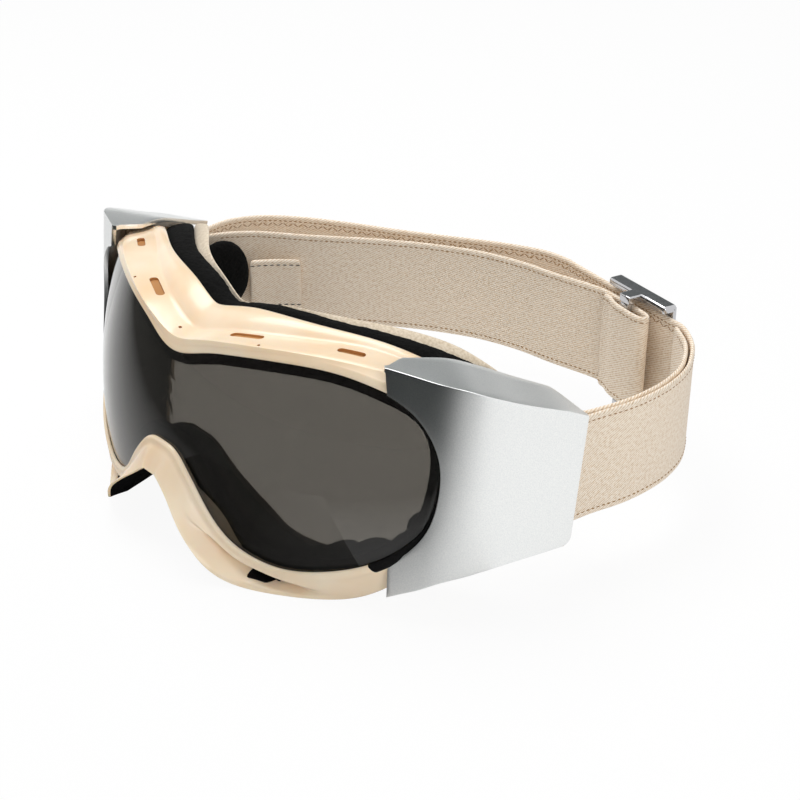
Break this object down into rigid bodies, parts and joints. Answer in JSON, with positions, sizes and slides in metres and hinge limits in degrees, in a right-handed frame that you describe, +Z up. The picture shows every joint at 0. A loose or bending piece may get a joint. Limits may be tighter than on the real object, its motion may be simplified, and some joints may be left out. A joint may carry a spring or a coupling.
{
  "type": "protective sports goggles",
  "caption": "Strap goggles: moulded frame with nose hood, smoke double lens, face foam, metal side plates and a woven head strap with a sliding adjuster.",
  "frame": {"origin": "on the surface that the frame stands on, under the middle of the whole object's box", "axes": "+X to the wearer's left, +Y from the lens back toward the back of the head, +Z up"},
  "size_m": [0.217, 0.187, 0.0839],
  "materials": {
    "frame_plastic": "gloss",
    "lens_outer": "gloss",
    "lens_inner": "gloss",
    "spacer_foam": "matte",
    "face_foam": "matte",
    "lining_fabric": "matte",
    "plate_metal": "satin",
    "arm_plastic": "satin",
    "pin_steel": "satin",
    "strap_webbing": "matte",
    "slider_chrome": "polished"
  },
  "bodies": {
    "goggles": {"frame": "frame_plastic", "lens_outer": "lens_outer", "lens_inner": "lens_inner", "lens_spacer": "spacer_foam", "face_foam": "face_foam", "foam_lining": "lining_fabric", "temple_pad_left": "face_foam", "temple_pad_right": "face_foam", "pad_tab_left": "strap_webbing", "pad_tab_right": "strap_webbing", "side_plate_left": "plate_metal", "side_plate_right": "plate_metal", "side_arm_left": "arm_plastic", "side_arm_right": "arm_plastic", "strap_pin_left": "pin_steel", "strap_pin_right": "pin_steel", "vent_filter_left": "spacer_foam", "vent_filter_right": "spacer_foam", "strap_band": "strap_webbing", "strap_return": "strap_webbing"},
    "slider": {"slider_frame": "slider_chrome", "slider_bar": "slider_chrome"}
  },
  "joints": [
    {"name": "slider_travel", "type": "slide", "parent": "goggles", "child": "slider", "axis": [-0.982, 0.1891, 0], "range_m": [0, 0.022], "deforming": ["strap_return"]}
  ]
}
